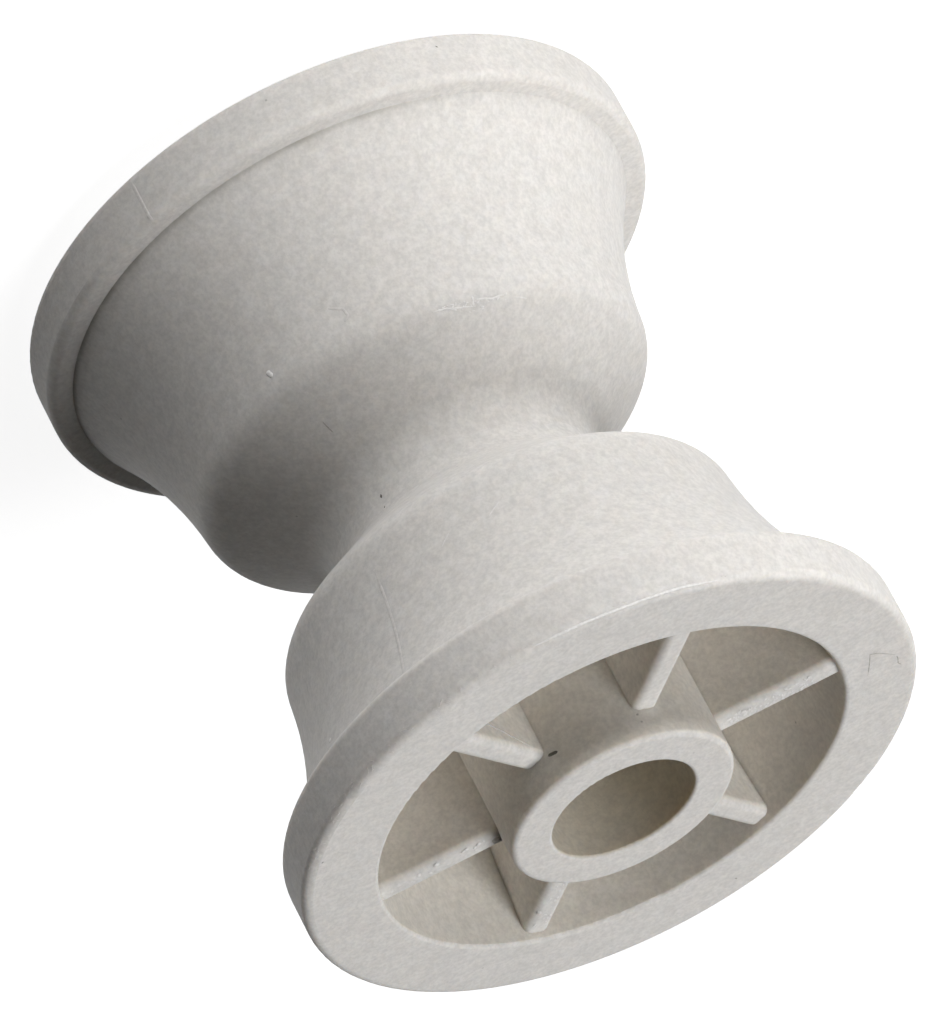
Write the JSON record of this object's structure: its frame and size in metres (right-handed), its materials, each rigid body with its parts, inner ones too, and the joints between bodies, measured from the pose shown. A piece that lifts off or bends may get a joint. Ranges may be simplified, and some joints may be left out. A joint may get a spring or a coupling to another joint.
{
  "type": "anchor roller",
  "caption": "Flanged plastic anchor roller with a V-shaped valley for rope or chain, ribbed open ends and a plain bore.",
  "frame": {"origin": "centre of the lower hub end, which the roller stands on", "axes": "+Z along the bore axis, through both ends; +X along one rib"},
  "size_m": [0.056, 0.056, 0.0637],
  "materials": {
    "roller": "off-white moulded plastic, satin, with a fine mottled grain"
  },
  "bodies": {
    "root": {"roller": "roller"}
  },
  "joints": []
}
